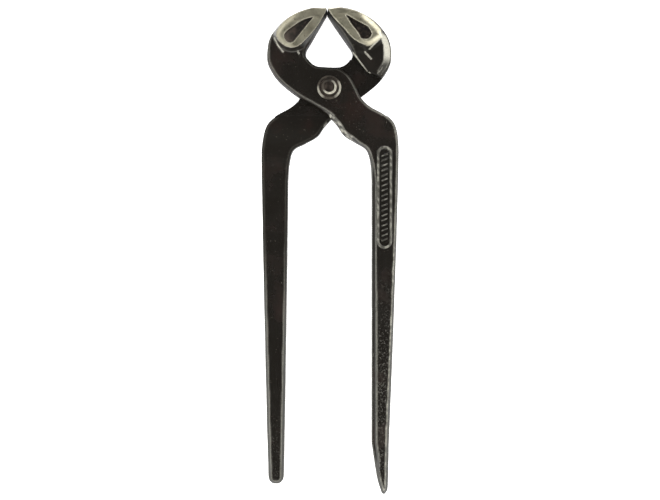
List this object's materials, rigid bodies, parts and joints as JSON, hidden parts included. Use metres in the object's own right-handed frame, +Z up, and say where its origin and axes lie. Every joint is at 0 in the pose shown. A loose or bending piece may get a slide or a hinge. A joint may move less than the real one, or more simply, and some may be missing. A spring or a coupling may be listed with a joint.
{
  "type": "hoof nipper",
  "caption": "Forged hoof nipper: two crossed halves on one rivet, wide rounded jaws with ground cheeks, slim straight handles, a claw on one handle end.",
  "frame": {"origin": "middle of the surface that the tool lies on, under the middle of its outline", "axes": "+Y along the tool towards the jaws, +Z up out of the surface, +X towards the claw handle"},
  "size_m": [0.0701, 0.2481, 0.024],
  "materials": {
    "forged_black": "black forged steel with a thin glossy lacquer, ground bright on the cheeks",
    "rivet_steel": "peened and darkened steel"
  },
  "bodies": {
    "back_half": {"back_half": "forged_black", "rivet": "rivet_steel", "rivet_washer": "rivet_steel"},
    "front_half": {"front_half": "forged_black"}
  },
  "joints": [
    {"name": "pivot", "type": "hinge", "parent": "back_half", "child": "front_half", "pos_m": [-0.0006, 0.0843, 0.012], "axis": [0, 0, 1], "range_deg": [0, 36]}
  ]
}
